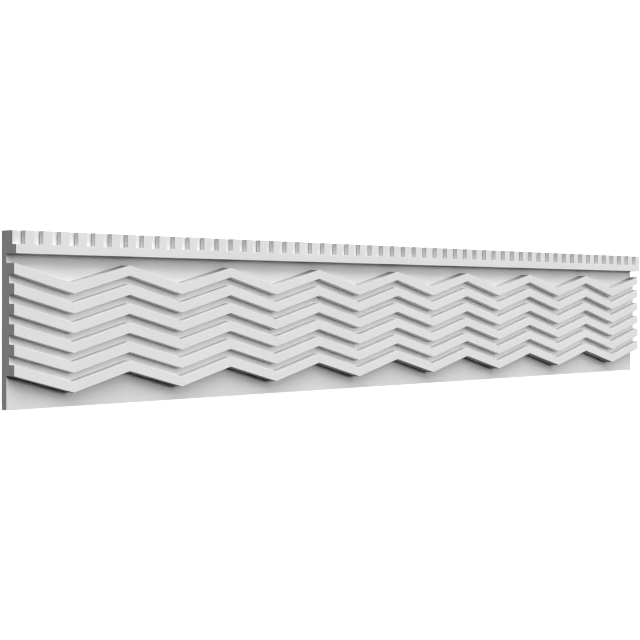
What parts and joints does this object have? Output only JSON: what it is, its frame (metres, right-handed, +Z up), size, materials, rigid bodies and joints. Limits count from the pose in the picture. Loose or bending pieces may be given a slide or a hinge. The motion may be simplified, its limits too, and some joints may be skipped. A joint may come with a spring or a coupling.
{
  "type": "frieze",
  "caption": "Frieze moulding with a dentil course along its top over a field of parallel zigzag ribs on a flat plate, cast in plaster in one piece.",
  "frame": {"origin": "middle of the flat back, where the wall meets it", "axes": "+X along the length to the right-hand end, +Y out of the back into the wall, +Z up to the dentil edge"},
  "size_m": [1, 0.02, 0.15],
  "materials": {
    "plaster": "matt cast gypsum plaster, white, unpainted"
  },
  "bodies": {
    "root": {"frieze_moulding": "plaster"}
  },
  "joints": []
}
